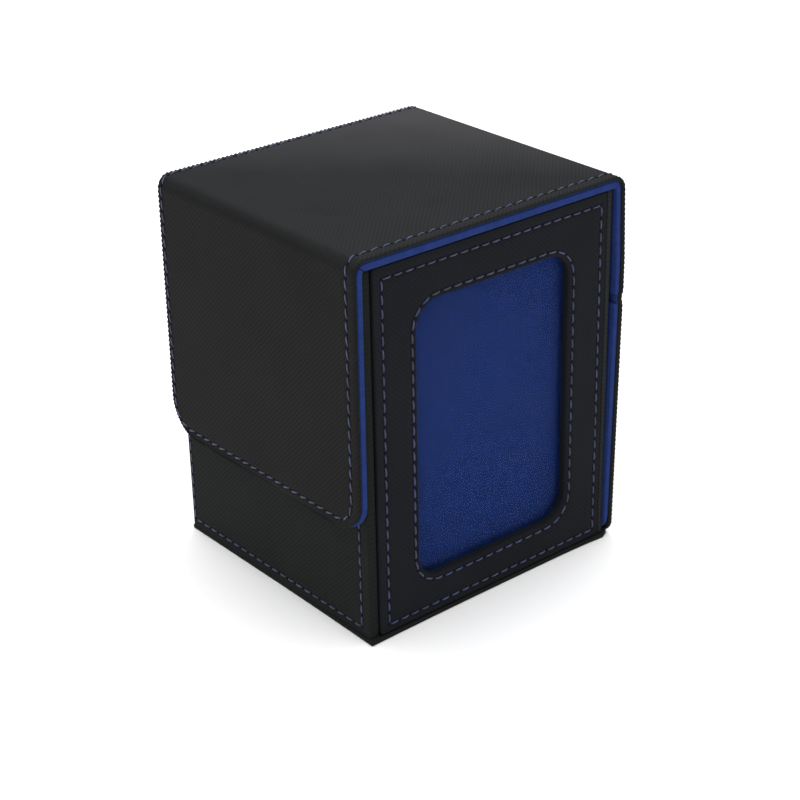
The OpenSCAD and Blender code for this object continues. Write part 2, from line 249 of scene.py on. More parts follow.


# ribDepth is in metres; the cover's top is painted lighter for the light from above, and along the given
# stretch it turns to a painted highlight at its rear corner
leatherLook = {
    "cover": {"colour": (27, 28, 27), "top": (32, 33, 34), "rear": (56, 56, 58),
              "highlightFrom": (112.0, 180.0), "rough": (0.5, 0.66), "ribDepth": 0.000021},
    "panel": {"colour": (25, 27, 31), "rough": (0.5, 0.66), "ribDepth": 0.00002},
    "wall": {"colour": (28, 30, 29), "rough": (0.52, 0.68), "ribDepth": 0.000012},
    # painted light: the strip lies in shade between the panels, so it is a lighter copy of the wall leather
    "strip": {"colour": (39, 41, 42), "rough": (0.52, 0.68), "ribDepth": 0.00004},
}
leatherFinish = {"Specular IOR Level": 0.03}


def makeLeather(name, look):
    made, tree, shader = newMaterial(name)
    turn = addNode(tree, "ShaderNodeAttribute", {}, attribute_name="lay").outputs["Fac"]
    along, across = addNode(tree, "ShaderNodeSeparateXYZ", {0: sheetPlace(tree)}).outputs[:2]
    wearAndPaintedLight = remap(tree, across, -30.0, 30.0, 0.1, 0.8)  # the top's ribs fade towards the rear
    press = calc(tree, "SUBTRACT", 1.0, calc(tree, "MULTIPLY", wearAndPaintedLight, turn))
    ribs = placeGroup(tree, ribGroup, sheetPlace(tree), Turn=turn, Press=press)
    colour = linear(*look["colour"])
    if "top" in look:  # painted light: the top a little lighter, with a painted highlight growing towards its rear corner at the hinge
        cornerward = calc(tree, "ADD", along, across)
        rearHighlight = remap(tree, cornerward, *look["highlightFrom"], 0.0, 1.0)
        paintedTopLight = mixColour(tree, rearHighlight, linear(*look["top"]), linear(*look["rear"]))
        colour = mixColour(tree, turn, colour, paintedTopLight)
    toneTo(tree, shader, colour, ribs.outputs["Tone"])
    low, high = look["rough"]
    rough = remap(tree, ribs.outputs["Height"], 0.1, 1.1, high, low)
    tree.links.new(rough, shader.inputs["Roughness"])
    setFinish(shader, leatherFinish)
    bumpTo(tree, shader, ribs.outputs["Height"], look["ribDepth"])
    return made


suedeLook = {
    "colour": (37, 54, 108),
    "display": (25, 47, 105),
    "black": (24, 24, 26),
    "pile": 0.00003,
    "fineness": 4.0,
    "finish": {"Roughness": 0.95, "Specular IOR Level": 0.05, "Sheen Weight": 0.04, "Sheen Roughness": 0.4,
               "Sheen Tint": linear(120, 140, 210)},
}


def makeSuede(name, colour, fromSheet):
    made, tree, shader = newMaterial(name)
    place = sheetPlace(tree) if fromSheet else objectPlace(tree)
    pile = placeGroup(tree, pileGroup, place, Fineness=suedeLook["fineness"])
    toneTo(tree, shader, linear(*colour), pile.outputs["Tone"])
    setFinish(shader, suedeLook["finish"])
    bumpTo(tree, shader, pile.outputs["Height"], suedeLook["pile"])
    return made


threadLook = {
    "colour": (44, 53, 98),
    "twist": 0.55,
    "depth": 0.00008,
    "half": 1.35,  # half a stitch
    "ends": 0.3,  # painted shade: tone towards the holes
    "uneven": (0.55, 1.6),
    "finish": {"Roughness": 0.3, "Specular IOR Level": 0.6, "Sheen Weight": 0.08},
}


def makeThread():
    made, tree, shader = newMaterial("threadBlue")
    along, around = addNode(tree, "ShaderNodeSeparateXYZ", {0: sheetPlace(tree)}).outputs[:2]
    turns = calc(tree, "ADD", calc(tree, "DIVIDE", along, threadLook["twist"]), around)
    wave = calc(tree, "SINE", calc(tree, "MULTIPLY", turns, 2 * math.pi))
    ply = calc(tree, "ABSOLUTE", wave)
    fuzz = noise(tree, sheetPlace(tree), 9.0, 3.0)
    height = calc(tree, "MULTIPLY_ADD", fuzz, 0.3, ply)
    # painted shade between the plies, a painted highlight over the middle of each stitch, painted shade
    # towards the holes, and no two stitches quite alike
    fromMiddle = calc(tree, "ABSOLUTE", calc(tree, "SUBTRACT", along, threadLook["half"]))
    wearAndPaintedLight = remap(tree, fromMiddle, 0.2, threadLook["half"], 1.0, threadLook["ends"])
    mixed = remap(tree, noise(tree, objectPlace(tree), 0.45, 2.0), 0.35, 0.65, *threadLook["uneven"])
    tone = calc(tree, "MULTIPLY_ADD", ply, 0.35, fromNoise(tree, fuzz, 0.6, 0.8))
    tone = calc(tree, "MULTIPLY", tone, calc(tree, "MULTIPLY", wearAndPaintedLight, mixed))
    toneTo(tree, shader, linear(*threadLook["colour"]), tone)
    setFinish(shader, threadLook["finish"])
    bumpTo(tree, shader, height, threadLook["depth"])
    return made


plainLooks = {
    # painted shade of the needle holes
    "holeShade": {"colour": (14, 16, 30), "marks": (4.0, 2.0), "tone": (0.7, 1.1),
                   "finish": {"Roughness": 0.9, "Specular IOR Level": 0.1}},
    "magnetNickel": {"colour": (196, 196, 192), "marks": (2.2, 4.0, 0.6), "tone": (0.9, 1.0),
                     "varied": {"Roughness": (0.22, 0.4)}, "depth": 0.00001, "finish": {"Metallic": 1.0}},
    "clearFilm": {"colour": (26, 32, 48), "marks": (0.12, 3.0), "tone": (0.9, 1.0),
                  "varied": {"Roughness": (0.08, 0.16), "Alpha": (0.05, 0.07)}, "depth": 0.0001,
                  "strength": 0.3, "finish": {"IOR": 1.3}},
}


# a finish with one kind of faint marks, which change its tone and may change its gloss and relief
def makePlain(name, look):
    made, tree, shader = newMaterial(name)
    marks = noise(tree, objectPlace(tree), *look["marks"])
    toneTo(tree, shader, linear(*look["colour"]), fromNoise(tree, marks, *look["tone"]))
    for label, values in look.get("varied", {}).items():
        tree.links.new(fromNoise(tree, marks, *values), shader.inputs[label])
    setFinish(shader, look["finish"])
    if "depth" in look:
        bumpTo(tree, shader, marks, look["depth"], look.get("strength", 1.0))
    return made


coverLeather, panelLeather, wallLeather, litStripLeather = (
    makeLeather("leather" + part.capitalize(), look) for part, look in leatherLook.items())
blueSuede = makeSuede("suedeBlue", suedeLook["colour"], True)
blueSuedeNode = makeSuede("suedeBlueFlat", suedeLook["colour"], False)
displaySuede = makeSuede("suedeDisplay", suedeLook["display"], False)
blackSuede = makeSuede("suedeBlack", suedeLook["black"], False)
blueThread = makeThread()
holeShade, nickel, clearFilm = (makePlain(name, look) for name, look in plainLooks.items())
print("materials made")


# the cover strip's line

# the outer line of the cover in x and z, from the flap's foot over the top to the foot
# of the back; every layer of the cover is laid along it
coverShape = {
    "flapFoot": (-43.45, 31.4),
    "flapTop": (-43.05, 98.95),
    "topZ": 102.95,
    "foldX": 39.75,
    "hingeX": 39.95,
    "backTop": (44.0, 98.95),
    "backMiddle": 84.0,
    "backWide": (44.68, 80.0),
    "backLow": (44.65, 71.5),
    "crease": 69.3,
    "creaseIn": 0.5,
    "creaseWidth": 1.3,
    "lowerWide": (44.5, 67.0),
    "lowerFoot": (43.15, 0.0),
    "halfWidth": 39.7,
    "step": 0.25,
    "arcSteps": 24,
}


def makeCoverLine(shape):
    points = []
    foldX, hingeX, topZ = shape["foldX"], shape["hingeX"], shape["topZ"]

    def straight(start, end):
        count = max(1, round(math.dist(start, end) / shape["step"]))
        points.extend(between(start, end, i / count) for i in range(count))

    # a quarter of an oval between an upright end and the flat top
    def arc(middleX, upright, fromTop):
        radiusX, radiusZ = upright[0] - middleX, topZ - upright[1]
        for i in range(shape["arcSteps"]):
            share = i / shape["arcSteps"]
            turn = math.pi / 2 * (share if fromTop else 1 - share)
            points.append((middleX + radiusX * math.sin(turn), upright[1] + radiusZ * math.cos(turn)))

    straight(shape["flapFoot"], shape["flapTop"])
    arc(-foldX, shape["flapTop"], False)
    straight((-foldX, topZ), (hingeX, topZ))
    arc(hingeX, shape["backTop"], True)
    for start, end in (("backTop", "backWide"), ("backWide", "backLow"), ("backLow", "lowerWide"),
                       ("lowerWide", "lowerFoot")):
        straight(shape[start], shape[end])
    points.append(shape["lowerFoot"])
    # the leather pinches in at the crease
    pinched = []
    for x, z in points:
        if x > 0:
            x -= shape["creaseIn"] * math.exp(-((z - shape["crease"]) / shape["creaseWidth"]) ** 2)
        pinched.append((x, z))
    run = [0.0]
    for a, b in zip(pinched, pinched[1:]):
        run.append(run[-1] + math.dist(a, b))
    normals = []
    for i in range(len(pinched)):
        a, b = pinched[max(0, i - 2)], pinched[min(len(pinched) - 1, i + 2)]
        length = math.dist(a, b)
        normals.append((-(b[1] - a[1]) / length, (b[0] - a[0]) / length))
    return run, pinched, normals


coverRun, coverPoints, coverNormals = makeCoverLine(coverShape)
coverLength = coverRun[-1]


# x, z and the outward direction at the length s along the cover
def onCoverLine(s):
    s = min(max(s, 0.0), coverLength)
    high = min(bisect.bisect_right(coverRun, s), len(coverRun) - 1)
    low = high - 1
    t = (s - coverRun[low]) / (coverRun[high] - coverRun[low])
    return (*between(coverPoints[low], coverPoints[high], t),
            *between(coverNormals[low], coverNormals[high], t))


# the length along the cover of the first point that passes a test of x and z
def runWhere(test):
    return next(s for s, (x, z) in zip(coverRun, coverPoints) if test(x, z))


def runDownBack(height):
    return runWhere(lambda x, z: x > coverShape["hingeX"] and z <= height)


hair = 1e-6
fold = {
    "flapStart": runWhere(lambda x, z: z >= coverShape["flapTop"][1] - hair),
    "flapEnd": runWhere(lambda x, z: x >= -coverShape["foldX"] - hair),
    "topMiddle": runWhere(lambda x, z: x >= 0),
    "backStart": runWhere(lambda x, z: x >= coverShape["hingeX"] - hair),
    "backEnd": runDownBack(coverShape["backTop"][1] + hair),
    "backMiddle": runDownBack(coverShape["backMiddle"]),
    "crease": runDownBack(coverShape["crease"]),
}


# sheets and slabs

# the distance to each closed end, with the radius of its corners
def closedEnds(s, slab):
    ends = []
    if not slab.get("openStart"):
        ends.append((s - slab["start"], slab.get("startRadius", 0.0)))
    if not slab.get("openEnd"):
        ends.append((slab["end"] - s, slab.get("endRadius", 0.0)))
    return ends


# distance of a point of the sheet from its outline
def edgeDistance(s, y, slab):
    near = side = slab["halfWidth"] - abs(y)
    for gap, radius in closedEnds(s, slab):
        if gap < radius and side < radius:
            near = min(near, radius - math.hypot(radius - gap, radius - side))
        else:
            near = min(near, gap)
    return max(near, 0.0)


# half the sheet's width at s, less at its rounded corners
def widthAt(s, slab):
    half = slab["halfWidth"]
    for gap, radius in closedEnds(s, slab):
        if gap < radius:
            kept = math.sqrt(max(0.0, radius ** 2 - (radius - gap) ** 2))
            half = min(half, slab["halfWidth"] - radius + kept)
    return half


# stops from start to end: the insets at each fine end, and even steps between
def spread(start, end, fineStart, fineEnd, insets, step):
    stops = {start, end}
    low, high = start, end
    if fineStart:
        stops.update(start + i for i in insets)
        low = start + insets[-1]
    if fineEnd:
        stops.update(end - i for i in insets)
        high = end - insets[-1]
    count = max(1, math.ceil((high - low) / step))
    stops.update(low + (high - low) * i / count for i in range(count + 1))
    return sorted(stops)


cleanUp = {"doubles": 0.0004, "slivers": 0.0002}


# makes the object from a bmesh whose vertices are in millimetres
def finishMesh(name, builder, materials, sharp=50):
    bmesh.ops.remove_doubles(builder, verts=builder.verts, dist=cleanUp["doubles"])
    bmesh.ops.dissolve_degenerate(builder, edges=builder.edges, dist=cleanUp["slivers"])
    bmesh.ops.recalc_face_normals(builder, faces=builder.faces)
    bmesh.ops.scale(builder, vec=(mm, mm, mm), verts=builder.verts)
    mesh = bpy.data.meshes.new(name)
    builder.to_mesh(mesh)
    builder.free()
    for material in materials:
        mesh.materials.append(material)
    mesh.polygons.foreach_set("use_smooth", [True] * len(mesh.polygons))
    mesh.set_sharp_from_angle(angle=math.radians(sharp))
    made = bpy.data.objects.new(name, mesh)
    bpy.context.scene.collection.objects.link(made)
    return made


# where a sheet's rows and columns lie in from its edges, unless it has its own
insetStops = [0.0, 0.03, 0.1, 0.2, 0.32, 0.46, 0.62, 0.8, 1.0, 1.25, 1.5, 1.75, 2.0, 2.25, 2.5, 2.75, 3.0,
              3.3, 3.6, 3.9, 4.3, 5.0, 6.0]


# a sheet of even or changing thickness with rounded edges, which slab["place"] lays in space
def makeSlab(name, slab, material):
    builder = bmesh.new()
    sheet = builder.loops.layers.uv.new("sheet")
    lay = builder.verts.layers.float.new("lay")
    insets = slab.get("insets", insetStops)
    rows = slab.get("rows") or spread(
        slab["start"], slab["end"], not slab.get("openStart"), not slab.get("openEnd"), insets, slab["step"])
    across = slab.get("across", 12)
    dent = slab.get("dent", lambda s, y, d: 0.0)
    middle = slab.get("middle", 0.0)
    thick = slab["thick"] if callable(slab["thick"]) else (lambda s, y: slab["thick"])
    layAt = slab.get("lay", lambda s: 0.0)
    grid, places = [], []
    for s in rows:
        half = widthAt(s, slab)
        innerHalf = max(half - insets[-1], 0.5)
        squeeze = (half - innerHalf) / insets[-1]
        ys = [-(half - i * squeeze) for i in insets]
        ys += [-innerHalf + 2 * innerHalf * k / across for k in range(1, across)]
        ys += [half - i * squeeze for i in reversed(insets)]
        line, spots = [], []
        for off in ys:
            d = edgeDistance(s, off, slab)
            y = off + middle
            t = thick(s, y)
            edge = min(slab["edge"], t / 2)
            rise = t / 2
            if d < edge:
                rise = t / 2 - edge + math.sqrt(max(0.0, edge ** 2 - (edge - d) ** 2))
            top = builder.verts.new(slab["place"](s, y, t, rise - dent(s, y, d)))
            bottom = builder.verts.new(slab["place"](s, y, t, -rise))
            top[lay] = bottom[lay] = layAt(s)
            line.append((top, bottom))
            spots.append((s, y))
        grid.append(line)
        places.append(spots)

    # each corner is its row, its column and its side, 0 for the top
    def addFace(*corners):
        face = builder.faces.new([grid[r][c][side] for r, c, side in corners])
        for loop, (r, c, side) in zip(face.loops, corners):
            loop[sheet].uv = places[r][c]

    last, width = len(grid) - 1, len(grid[0]) - 1
    for r in range(last):
        for c in range(width):
            for side in (0, 1):
                addFace((r, c, side), (r + 1, c, side), (r + 1, c + 1, side), (r, c + 1, side))
        for c in (0, width):
            addFace((r, c, 0), (r, c, 1), (r + 1, c, 1), (r + 1, c, 0))
    for r in (0, last):
        for c in range(width):
            addFace((r, c, 0), (r, c, 1), (r, c + 1, 1), (r, c + 1, 0))
    return finishMesh(name, builder, [material])


# seams

seamShape = {
    "pitch": 3.45,
    "stitch": 2.7,
    "radius": 0.2,
    "rise": 0.2,
    "sink": 0.18,
    "valley": 0.14,
    "valleyWidth": 0.7,
    "reach": 2.5,
    "holeDepth": 0.16,
    "holeWidth": 0.42,
    "hole": (0.5, 0.32),
    "cornerSteps": 8,
    "sides": 8,
    "rings": 8,
    "holeSides": 10,
    "dive": 0.1,  # how much deeper a stitch's ends go
    "flatten": 1.12,
    "endSize": 0.6,
    "holeRims": ((1.0, -0.156), (1.0, -0.056), (0.62, -0.03)),  # size and height of each ring
}


# a closed loop of points round a rectangle with rounded corners
def roundedLoop(x0, y0, x1, y1, radius, steps):
    points = []
    for cx, cy, turn in ((x1 - radius, y1 - radius, 0), (x0 + radius, y1 - radius, 90),
                         (x0 + radius, y0 + radius, 180), (x1 - radius, y0 + radius, 270)):
        for i in range(steps + 1):
            a = math.radians(turn + 90 * i / steps)
            points.append((cx + radius * math.cos(a), cy + radius * math.sin(a)))
    return points


# even needle holes along a polyline, from its start up to just before its end
def evenStops(line):
    run = [0.0]
    for a, b in zip(line, line[1:]):
        run.append(run[-1] + math.dist(a, b))
    count = round(run[-1] / seamShape["pitch"])
    stops, k = [], 0
    for i in range(count):
        want = i * run[-1] / count
        while k < len(run) - 2 and run[k + 1] < want:
            k += 1
        t = (want - run[k]) / (run[k + 1] - run[k])
        stops.append(between(line[k], line[k + 1], t))
    return stops


# a closed seam on a sheet: its rectangle, its needle holes, and a tree to find the nearest hole
def newSeam(x0, y0, x1, y1, radius):
    rect = (x0, y0, x1, y1, radius)
    if radius:
        loop = roundedLoop(*rect, seamShape["cornerSteps"])
        stops = evenStops(loop + [loop[0]])
    else:
        corners = [(x1, y1), (x0, y1), (x0, y0), (x1, y0)]
        stops = [stop for a, b in zip(corners, corners[1:] + corners[:1]) for stop in evenStops([a, b])]
    tree = kdtree.KDTree(len(stops))
    for i, (s, y) in enumerate(stops):
        tree.insert((s, y, 0.0), i)
    tree.balance()
    return {"rect": rect, "stops": stops, "tree": tree}


# distance of a point from the seam's line
def seamGap(seam, s, y):
    s0, y0, s1, y1, radius = seam["rect"]
    offS = abs(s - (s0 + s1) / 2) - (s1 - s0) / 2 + radius
    offY = abs(y - (y0 + y1) / 2) - (y1 - y0) / 2 + radius
    return abs(math.hypot(max(offS, 0.0), max(offY, 0.0)) + min(max(offS, offY), 0.0) - radius)


# how far the leather is drawn down at a point by its seam
def seamDent(seam, s, y):
    gap = seamGap(seam, s, y)
    if gap > seamShape["reach"]:
        return 0.0
    far = seam["tree"].find((s, y, 0.0))[2]
    return (seamShape["valley"] * math.exp(-(gap / seamShape["valleyWidth"]) ** 2)
            + seamShape["holeDepth"] * math.exp(-(far / seamShape["holeWidth"]) ** 2))


# one raised stitch from hole to hole, a bowed round thread
def addStitch(builder, sheet, a, b, surface, slant):
    sides, rings = seamShape["sides"], seamShape["rings"]
    middleS, middleY = (a[0] + b[0]) / 2, (a[1] + b[1]) / 2
    length = math.dist(a, b)
    ds, dy = (b[0] - a[0]) / length, (b[1] - a[1]) / length
    circles = []
    for r in range(rings + 1):
        t = r / rings * 2 - 1
        along, aside = t * seamShape["stitch"] / 2, t * slant
        s, y = middleS + ds * along - dy * aside, middleY + dy * along + ds * aside
        point, normal, sideways = stitchAxes(surface, s, y, ds, dy)[:3]
        bow = 1 - t * t
        height = seamShape["rise"] * bow ** 0.6 - seamShape["sink"] - seamShape["dive"] * abs(t) ** 3
        centre = point + normal * height
        radius = seamShape["radius"] * (seamShape["endSize"] + (1 - seamShape["endSize"]) * bow ** 0.5)
        wide = sideways * seamShape["flatten"]
        turns = [2 * math.pi * k / sides for k in range(sides)]
        circles.append([builder.verts.new(centre + (wide * math.cos(w) + normal * math.sin(w)) * radius)
                        for w in turns])
    for r in range(rings):
        for k in range(sides):
            n = (k + 1) % sides
            face = builder.faces.new([circles[r][k], circles[r][n], circles[r + 1][n], circles[r + 1][k]])
            for loop, uv in zip(face.loops, ((r, k), (r, k + 1), (r + 1, k + 1), (r + 1, k))):
                loop[sheet].uv = (uv[0] / rings * seamShape["stitch"], uv[1] / sides)
    for circle in (circles[0], circles[-1]):
        builder.faces.new(circle)


# the point on the leather, its outward direction, and the directions across and along the seam
def stitchAxes(surface, s, y, ds, dy):
    point, normal = surface(s, y)
    forward = (surface(s + ds * 0.05, y + dy * 0.05)[0] - point).normalized()
    return point, normal, normal.cross(forward).normalized(), forward


# a flat dark oval button just proud of the leather: painted shade of a needle hole
def addHoleShade(builder, spot, other, surface):
    length = math.dist(spot, other)
    point, normal, sideways, forward = stitchAxes(
        surface, *spot, (other[0] - spot[0]) / length, (other[1] - spot[1]) / length)
    longHalf, shortHalf = seamShape["hole"]
    count = seamShape["holeSides"]
    turns = [2 * math.pi * k / count for k in range(count)]
    oval = [forward * math.cos(w) * longHalf + sideways * math.sin(w) * shortHalf for w in turns]
    rims = [[builder.verts.new(point + normal * lift + spoke * share) for spoke in oval]
            for share, lift in seamShape["holeRims"]]
    for low, high in zip(rims, rims[1:]):
        for k in range(count):
            n = (k + 1) % count
            builder.faces.new([low[k], low[n], high[n], high[k]]).material_index = 1
    for rim in (rims[0], rims[-1]):
        builder.faces.new(rim).material_index = 1


# surface(s, y) gives a point of the leather's outer face and its outward direction
def makeStitches(name, seams, surface, slant, keep=lambda s: True):
    builder = bmesh.new()
    sheet = builder.loops.layers.uv.new("sheet")
    for seam in seams:
        stops = seam["stops"]
        for a, b in zip(stops, stops[1:] + stops[:1]):
            if keep((a[0] + b[0]) / 2):
                addStitch(builder, sheet, a, b, surface, slant)
            if keep(a[0]):
                addHoleShade(builder, a, b, surface)
    made = finishMesh(name, builder, [blueThread, holeShade], 60)
    return made


# cover leather

coverLayers = {
    "leather": {"flap": 0.75, "top": 1.05, "back": 1.45},
    "backing": 0.3,
    "panel": {"flap": 1.6, "top": 1.88, "back": 1.2},
    "panelShort": 0.22,
    "panelEdge": 0.3,
    "backingShort": 0.4,
    "seamNear": 3.3,
    "seamFar": 1.6,
    "seamFoot": 2.5,
    "seamCorner": 5.6,
    "slant": 0.3,
    "footShort": 1.5,
    "creaseGap": 1.5,
    "cornerGap": 0.12,
    "ribRise": 0.15,
    "corners": (10.0, 4.0),  # radii at the flap's foot and the back's foot
    "backingCorners": (9.8, 3.8),
    "backingFoot": 1.2,
    "overlap": 0.02,
}


def easeBetween(value, low, high):
    t = min(1.0, max(0.0, (value - low) / (high - low)))
    return t * t * (3 - 2 * t)


def layerThickness(kind, s):
    sizes = coverLayers[kind]
    toTop = easeBetween(s, fold["flapStart"], fold["flapEnd"])
    toBack = easeBetween(s, fold["backStart"], fold["backEnd"])
    return sizes["flap"] * (1 - toTop) + sizes["top"] * (toTop - toBack) + sizes["back"] * toBack


# the ribs lean the other way on the top
def ribsTurned(s):
    return easeBetween(s, fold["flapStart"] + 1, fold["flapEnd"] - 1) * (
        1 - easeBetween(s, fold["backStart"] + 1, fold["backEnd"] - 1))


halfWidth = coverShape["halfWidth"]
coverSeam = newSeam(coverLayers["seamFoot"], -halfWidth + coverLayers["seamNear"],
                    coverLength - coverLayers["seamFoot"], halfWidth - coverLayers["seamFar"],
                    coverLayers["seamCorner"])


def coverDent(s, y, d):
    turned = ribsTurned(s)
    line = (s - y if turned > 0.5 else s + y) * math.sqrt(0.5)
    near = 1 - easeBetween(d, 0.5, 2.0)
    rib = math.sin(2 * math.pi * line / ribShape["pitch"]) * coverLayers["ribRise"] * near
    return seamDent(coverSeam, s, y) - rib * abs(2 * turned - 1)


def placeCoverLeather(s, y, t, h):
    x, z, nx, nz = onCoverLine(s)
    depth = t / 2 - h
    return x - nx * depth, y, z - nz * depth


def makeCoverSheet(name, start, end, openStart, openEnd):
    startRadius, endRadius = coverLayers["corners"]
    edges = [i for i in insetStops if i < 2]
    made = makeSlab(name, {
        "start": start, "end": end, "openStart": openStart, "openEnd": openEnd,
        "halfWidth": halfWidth, "startRadius": startRadius, "endRadius": endRadius,
        "thick": lambda s, y: layerThickness("leather", s), "edge": 0.5,
        "rows": spread(start, end, not openStart, not openEnd, edges, 0.33), "across": 14,
        "place": placeCoverLeather, "dent": coverDent, "lay": ribsTurned,
    }, coverLeather)
    return made


def coverSurface(s, y):
    x, z, nx, nz = onCoverLine(s)
    return Vector((x, y, z)), Vector((nx, 0.0, nz)).normalized()


# each part crosses one fold, with the two bodies on either side of it and a short way across it, in metres
coverParts = {
    "flap": {
        "span": (0.0, fold["topMiddle"]), "open": (False, True),
        "bodies": ("lid_top", "flap"), "bend": ((-0.03975, 0, 0.1023), (-0.04315, 0, 0.09895)),
        "leatherFor": ("flap_skin", "flap_stiffener"), "threadFor": ("flap_thread",),
    },
    "top": {
        "span": (fold["topMiddle"], fold["backMiddle"]), "open": (True, True),
        "bodies": ("upper_back", "lid_top"), "bend": ((0.04315, 0, 0.09895), (0.03975, 0, 0.1023)),
        "leatherFor": ("top_skin", "top_stiffener"), "threadFor": ("top_thread",),
    },
    "back": {
        "span": (fold["backMiddle"], coverLength), "open": (True, False),
        "bodies": ("box", "upper_back"), "bend": ((0.043, 0, 0.0678), (0.043, 0, 0.0708)),
        "leatherFor": ("upper_back_skin", "upper_back_stiffener", "lower_back_skin", "lower_back_stiffener"),
        "threadFor": ("upper_back_thread", "lower_back_thread"),
    },
}


def bend(piece):
    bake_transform(piece)


# the thin suede that lines the leather
def makeBacking(name, start, end, openStart, openEnd):
    short = coverLayers["backingShort"]
    start += 0 if openStart else short
    end -= 0 if openEnd else coverLayers["backingFoot"]
    lift = coverLayers["overlap"]
    insets = [0.0, 0.05, 0.15, 0.5, 2.0, 5.0]
    startRadius, endRadius = coverLayers["backingCorners"]
    made = makeSlab(name, {
        "start": start, "end": end, "openStart": openStart, "openEnd": openEnd,
        "halfWidth": halfWidth - short, "startRadius": startRadius, "endRadius": endRadius,
        "thick": coverLayers["backing"], "edge": 0.15, "insets": insets, "across": 6,
        "rows": spread(start, end, not openStart, not openEnd, insets, 0.8),
        "place": lambda s, y, t, h: placeCoverLeather(s, y, t, h - layerThickness("leather", s) + lift),
    }, blueSuede)
    return made


for part, facts in coverParts.items():
    start, end = facts["span"]
    sheetPiece = makeCoverSheet("cover_leather_" + part, start, end, *facts["open"])
    bend(sheetPiece)
    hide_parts(*facts["leatherFor"])

    stitchPiece = makeStitches("cover_stitches_" + part, [coverSeam], coverSurface, coverLayers["slant"],
                               keep=lambda s: start <= s < end)
    bend(stitchPiece)
    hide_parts(*facts["threadFor"])

    bend(makeBacking("cover_suede_" + part, start, end, *facts["open"]))
print("cover leather, seams and suede laid")


# suede-covered boards inside the cover

flapCorner = (fold["flapStart"] + fold["flapEnd"]) / 2
backCorner = (fold["backStart"] + fold["backEnd"]) / 2
cornerGap, creaseHalf = coverLayers["cornerGap"], coverLayers["creaseGap"] / 2
liningParts = {
    "flap": {"span": (0.3, flapCorner - cornerGap), "radii": (8.3, 0.3),
             "body": "flap", "nodes": ("flap_lining", "flap_board")},
    "top": {"span": (flapCorner + cornerGap, backCorner - cornerGap), "radii": (0.3, 0.3),
            "body": "lid_top", "nodes": ("top_lining", "top_board")},
    "upperBack": {"span": (backCorner + cornerGap, fold["crease"] - creaseHalf), "radii": (0.3, 0.4),
                  "body": "upper_back", "nodes": ("upper_back_lining", "upper_back_board")},
    "lowerBack": {"span": (fold["crease"] + creaseHalf, coverLength - coverLayers["footShort"]),
                  "radii": (0.4, 3.8), "body": "box", "nodes": ("lower_back_lining", "lower_back_board")},
}
liningInsets = [0.0, 0.02, 0.06, 0.12, 0.2, 0.3, 0.6, 1.2, 2.5, 5.0]
liningRows = liningInsets[:-1] + [3.2, 3.8, 4.4, 5.0]


def placeLining(s, y, t, h):
    x, z, nx, nz = onCoverLine(s)
    under = layerThickness("leather", s) + coverLayers["backing"] - coverLayers["overlap"]
    depth = under + t / 2 - h
    return x - nx * depth, y, z - nz * depth


for part, facts in liningParts.items():
    start, end = facts["span"]
    liningPiece = makeSlab("cover_panel_" + part, {
        "start": start, "end": end, "halfWidth": halfWidth - coverLayers["panelShort"],
        "startRadius": facts["radii"][0], "endRadius": facts["radii"][1],
        "thick": lambda s, y: layerThickness("panel", s), "edge": coverLayers["panelEdge"],
        "rows": spread(start, end, True, True, liningRows, 0.9), "insets": liningInsets, "across": 8,
        "place": placeLining,
    }, blueSuede)
    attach(liningPiece, facts["body"])
    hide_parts(*facts["nodes"])
print("cover panels laid")


# tray walls, base and rear panel

tray = {
    "halfX": 40.2,
    "halfY": 38.85,
    "baseTop": 1.1,
    "rim": 99.4,
    "turned": 93.4,  # foot of the leather turned in over the rim
    "wallThick": (2.2, 2.7),  # in the lined part, and where the leather is turned over
    "panelX": (-37.15, 38.4),
    "panelFoot": 1.25,
    "slant": 0.06,
}
baseShape = {
    "x": (-40.3, 42.7),
    "halfWidth": 39.05,
    "thick": 1.07,
    "corners": (0.25, 3.6),
    "edge": 0.18,
    "flare": 0.45,
    "hingeFlare": 0.75,
    "hingeLift": 0.85,
    "liftFrom": (39.6, 41.4),
}
wallInsets = [0.0, 0.04, 0.1, 0.18, 0.28, 0.4, 0.8, 1.3, 1.8, 2.2, 2.5, 2.7, 2.9, 3.1, 3.35, 3.7, 4.3, 5.0,
              6.0]
plainInsets = [0.0, 0.04, 0.12, 0.22, 0.35, 0.5, 1.0, 3.0]
rimRows = [93.0, 93.15, 93.25, 93.35, 93.45, 93.55, 93.7]  # close rows where the turned leather steps out


def fixToBox(piece, slot, *nodes):
    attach(piece, "box")
    if nodes:
        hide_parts(*nodes)


# the leather turned over the rim makes a wall thicker at the top of its lined part
def turnedRim(thin, thick, low, high, outside):
    def size(s, y):
        inside = easeBetween(y, low - 0.2, low + 0.2) * (1 - easeBetween(y, high - 0.2, high + 0.2))
        lined = thin + (thick - thin) * easeBetween(s, tray["turned"] - 0.25, tray["turned"] + 0.15)
        return outside + (lined - outside) * inside
    return size


# the base plate stands out a little at its two corners below the window, and at the
# hinge side it is thicker, to fill up to the cover's foot
def placeBase(s, y, t, h):
    near = max(0.0, -y / tray["halfY"]) ** 2
    out = baseShape["flare"] * max(0.0, -s / tray["halfX"]) ** 2 * near
    hingeOut = baseShape["hingeFlare"] * max(0.0, s / tray["halfX"]) ** 6 * near
    lift = 1.0 + baseShape["hingeLift"] * easeBetween(s, *baseShape["liftFrom"]) * near
    return s - out, y - out - hingeOut, (h + t / 2) * lift


basePiece = makeSlab("base_leather", {
    "start": baseShape["x"][0], "end": baseShape["x"][1], "halfWidth": baseShape["halfWidth"],
    "startRadius": baseShape["corners"][0], "endRadius": baseShape["corners"][1],
    "thick": baseShape["thick"], "edge": baseShape["edge"], "step": 6.0,
    "insets": [0.0, 0.02, 0.05, 0.1, 0.18, 0.35, 1.0, 3.0], "place": placeBase,
}, wallLeather)
fixToBox(basePiece, "leather_black", "base_skin", "base_board")


def rowsToRim(start, end, insets, step):
    return sorted(set(spread(start, end, True, True, insets, step) + rimRows))


